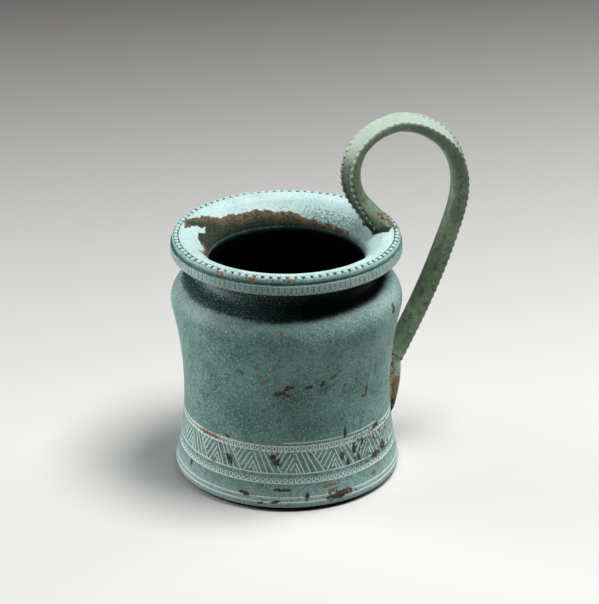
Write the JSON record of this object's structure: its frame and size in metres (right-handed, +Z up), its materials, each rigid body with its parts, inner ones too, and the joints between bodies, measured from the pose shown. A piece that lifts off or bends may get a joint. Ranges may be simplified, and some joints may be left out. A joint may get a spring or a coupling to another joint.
{
  "type": "kyathos",
  "caption": "Small cast bronze dipping cup with hollow-sided body, heavy beaded rim and a high looped strap handle ending in a leaf.",
  "frame": {"origin": "centre of the underside, on the cup's axis, in the plane that the cup stands on", "axes": "+Z up along the cup's axis, +X towards the handle, Y across the handle strap"},
  "size_m": [0.1121, 0.0824, 0.1282],
  "materials": {
    "cup_bronze": "cast and turned tin bronze under a smooth blue-green patina",
    "floor_bronze": "turned bronze disc under a darker green patina",
    "handle_bronze": "cast bronze strap under an olive-green patina",
    "solder": "old lead and tin solder under a brown earthy crust"
  },
  "bodies": {
    "root": {"cup": "cup_bronze", "floor_disc": "floor_bronze", "floor_solder": "solder", "handle": "handle_bronze", "rim_solder": "solder", "leaf_solder": "solder"}
  },
  "joints": []
}
